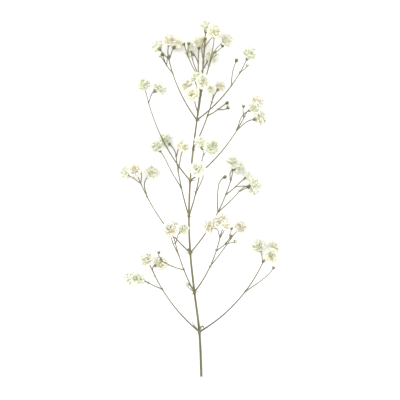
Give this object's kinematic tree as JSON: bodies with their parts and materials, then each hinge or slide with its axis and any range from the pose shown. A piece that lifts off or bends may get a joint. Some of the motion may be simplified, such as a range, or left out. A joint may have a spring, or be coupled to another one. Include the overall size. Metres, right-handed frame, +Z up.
{
  "type": "gypsophila stem",
  "caption": "Dried gypsophila stem lying flat: slim forking stalk with many small double pompon flowers, closed buds, bracts and narrow curled leaves.",
  "frame": {"origin": "middle of the stem's outline on the surface that it lies on", "axes": "+Y along the stalk from the cut end to the crown, +X to the right of it, +Z up from the surface"},
  "size_m": [0.099, 0.2152, 0.0589],
  "materials": {
    "dried_stalk": "matte",
    "dried_leaf": "matte",
    "ivory_petals": "matte"
  },
  "bodies": {
    "root": {"stalk": "dried_stalk", "leaf_1": "dried_leaf", "leaf_2": "dried_leaf", "leaf_3": "dried_leaf", "leaf_4": "dried_leaf", "bloom_01": "ivory_petals", "bloom_02": "ivory_petals", "bloom_03": "ivory_petals", "bloom_04": "ivory_petals", "bloom_05": "ivory_petals", "bloom_06": "ivory_petals", "bloom_07": "ivory_petals", "bloom_08": "ivory_petals", "bloom_09": "ivory_petals", "bloom_10": "ivory_petals", "bloom_11": "ivory_petals", "bloom_12": "ivory_petals", "bloom_13": "ivory_petals", "bloom_14": "ivory_petals", "bloom_15": "ivory_petals", "bloom_16": "ivory_petals", "bloom_17": "ivory_petals", "bloom_18": "ivory_petals", "bloom_19": "ivory_petals", "bloom_20": "ivory_petals", "bloom_21": "ivory_petals", "bloom_22": "ivory_petals", "bloom_23": "ivory_petals", "bloom_24": "ivory_petals", "bloom_25": "ivory_petals", "bloom_26": "ivory_petals", "bloom_27": "ivory_petals", "bloom_28": "ivory_petals", "bloom_29": "ivory_petals", "bloom_30": "ivory_petals", "bloom_31": "ivory_petals", "bloom_32": "ivory_petals", "bloom_33": "ivory_petals", "bloom_34": "ivory_petals", "bloom_35": "ivory_petals", "bloom_36": "ivory_petals", "bloom_37": "ivory_petals", "bloom_38": "ivory_petals", "bloom_39": "ivory_petals", "bloom_40": "ivory_petals", "bloom_41": "ivory_petals", "bloom_42": "ivory_petals", "bloom_43": "ivory_petals", "bloom_44": "ivory_petals", "bloom_45": "ivory_petals", "bloom_46": "ivory_petals", "bloom_47": "ivory_petals", "bloom_48": "ivory_petals", "bloom_49": "ivory_petals", "bloom_50": "ivory_petals", "bloom_51": "ivory_petals", "bloom_52": "ivory_petals"}
  },
  "joints": []
}
